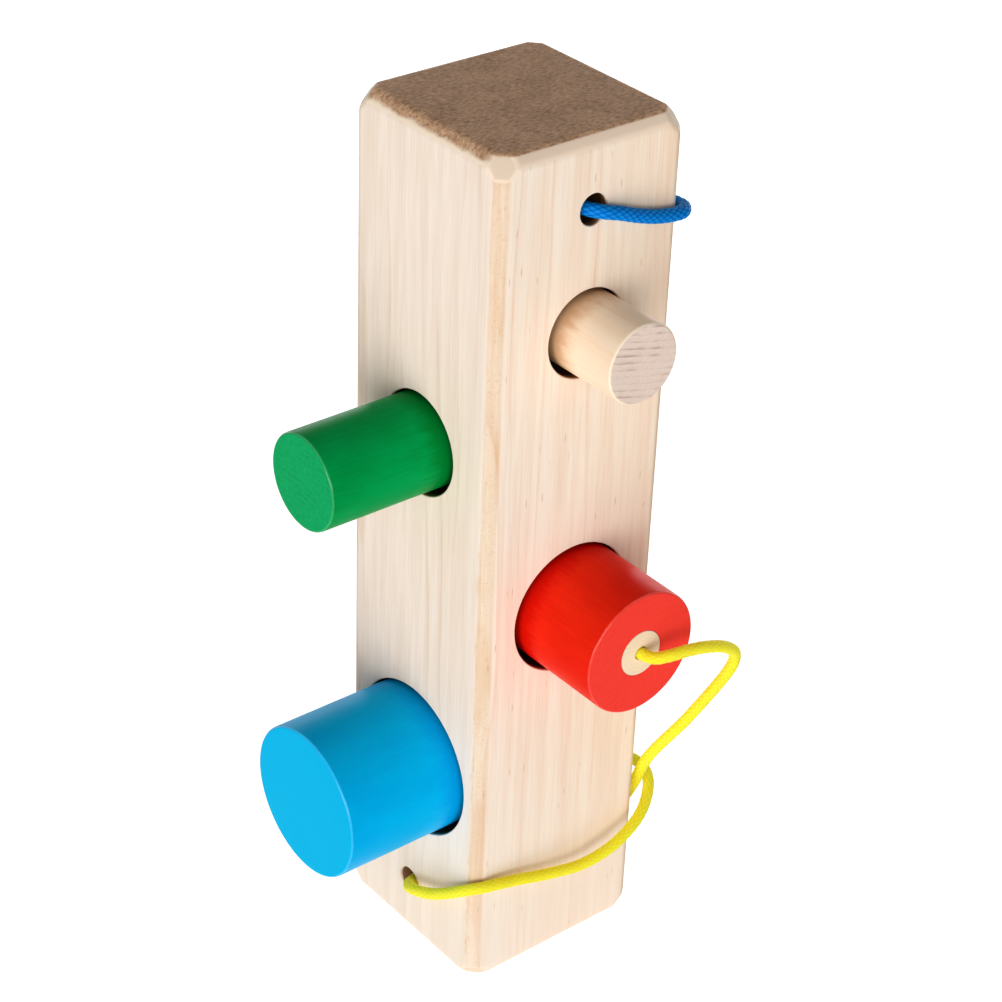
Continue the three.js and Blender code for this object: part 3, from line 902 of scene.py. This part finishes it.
PLUG_SIDE = srgb(248, 226, 192), srgb(232, 202, 160)
FINISH = {
    "post": post_timber(),
    "natural_peg": turned_wood(
        "peg_bare_wood", "front", (74.0, 528.0, 0.0), 2.2,
        (srgb(250, 228, 202), srgb(241, 202, 160)), (srgb(238, 218, 204), srgb(190, 158, 141)), 1.2),
    "peg_plug": turned_wood(
        "red_peg_plug_wood", "front", (20.0, 260.0, 0.0), 1.6,
        PLUG_SIDE, (srgb(250, 229, 197), srgb(226, 196, 158)), 0.3),
    "post_plug": turned_wood(
        "low_plug_wood", "left", (20.0, 140.0, 0.0), 1.6,
        PLUG_SIDE, (srgb(238, 212, 176), srgb(206, 172, 130)), 0.3),
    "green_peg": painted_wood(
        "green_paint_on_wood", "left", (srgb(0, 156, 78), srgb(0, 122, 46)),
        (srgb(10, 166, 96), srgb(2, 142, 74)), srgb(50, 180, 112)),
    "red_peg": painted_wood(
        "red_paint_on_wood", "front", (srgb(246, 40, 16), srgb(214, 16, 4)),
        (srgb(252, 66, 55), srgb(246, 58, 46)), srgb(255, 104, 80)),
    "blue_peg": painted_wood(
        "blue_paint_on_wood", "left", (srgb(0, 184, 242), srgb(0, 160, 232)),
        (srgb(0, 184, 234), srgb(0, 178, 230)), srgb(50, 200, 240)),
}
# Each yarn's crown colour is a painted highlight, its gap colour painted shade between the stitches
yellow_yarn = braided_cord("yellow_braided_yarn", srgb(255, 240, 68), srgb(254, 222, 28), 1.0)
blue_yarn = braided_cord("blue_braided_yarn", srgb(12, 138, 220), srgb(0, 84, 172), 0.4)

for name, piece in pieces.items():
    piece.data.materials.clear()
    piece.data.materials.append(FINISH[name])
for piece in yellow_pieces:
    piece.data.materials.append(yellow_yarn)
for piece in blue_pieces:
    piece.data.materials.append(blue_yarn)


# Floor, light and backdrop

FLOOR_REACH = 4.0
FLOOR_WHITE = 0.86
FLOOR_GLOW = 0.8
AMBIENT = 0.21
MIDDLE = (0, 0, 0.15)
# Place, size and power
LAMPS = {
    "left": ((-3.7, -1.2, 0.1), 2.4, 80),
    "front": ((-1.3, -3.6, 0.6), 2.4, 62),
    "low_corner": ((-2.35, -2.35, -1.8), 2.8, 57),
    "right": ((1.4, 0.6, 0.2), 1.2, 12),
    "back": ((0.6, 1.6, 0.2), 1.2, 9),
}


def background_rays(tree):
    """1 for rays that show the background: straight to the camera, or by way of gloss or glass."""
    path = add_node(tree, "ShaderNodeLightPath").outputs
    seen = calc(tree, "MAXIMUM", path["Is Camera Ray"], path["Is Glossy Ray"])
    return calc(tree, "MAXIMUM", seen, path["Is Transmission Ray"])


def pale_floor():
    """A plain floor that takes the toy's shadow and doesn't shade the toy from the low lamp."""
    reach = FLOOR_REACH
    floor = new_piece("floor", [(-reach, -reach, 0), (reach, -reach, 0), (reach, reach, 0), (-reach, reach, 0)],
                      [(0, 1, 2, 3)])
    material, tree, shader, ending = new_material("floor_white")
    set_inputs(tree, shader, {
        "Base Color": (FLOOR_WHITE, FLOOR_WHITE, FLOOR_WHITE, 1), "Roughness": 0.9, "Specular IOR Level": 0.1})
    glow = add_node(tree, "ShaderNodeEmission", {
        "Color": (1, 1, 1, 1), "Strength": times(tree, background_rays(tree), FLOOR_GLOW)})
    both = add_node(tree, "ShaderNodeAddShader", {0: shader.outputs[0], 1: glow.outputs[0]})
    tree.links.new(both.outputs[0], ending.inputs["Surface"])
    floor.data.materials.append(material)
    floor.visible_shadow = False


def soft_world():
    world = bpy.data.worlds.new("studio")
    world.use_nodes = True
    tree = world.node_tree
    tree.nodes.clear()
    level = span(tree, background_rays(tree), 0.0, 1.0, AMBIENT, 1.0)
    light = add_node(tree, "ShaderNodeBackground", {"Color": (1, 1, 1, 1), "Strength": level})
    add_node(tree, "ShaderNodeOutputWorld", {"Surface": light.outputs[0]})
    bpy.context.scene.world = world


def soft_light(name, place, size, power):
    """A round lamp that faces the middle of the toy."""
    data = bpy.data.lights.new(name, "AREA")
    data.shape, data.size, data.energy = "DISK", size, power
    lamp = bpy.data.objects.new(name, data)
    lamp.matrix_world = (Matrix.Translation(place)
                         @ (Vector(MIDDLE) - Vector(place)).to_track_quat("-Z", "Y").to_matrix().to_4x4())
    lamp.visible_camera = False
    bpy.context.scene.collection.objects.link(lamp)


pale_floor()
soft_world()
for name, (place, size, power) in LAMPS.items():
    soft_light(name, place, size, power)

bpy.context.scene.view_settings.view_transform = "Standard"
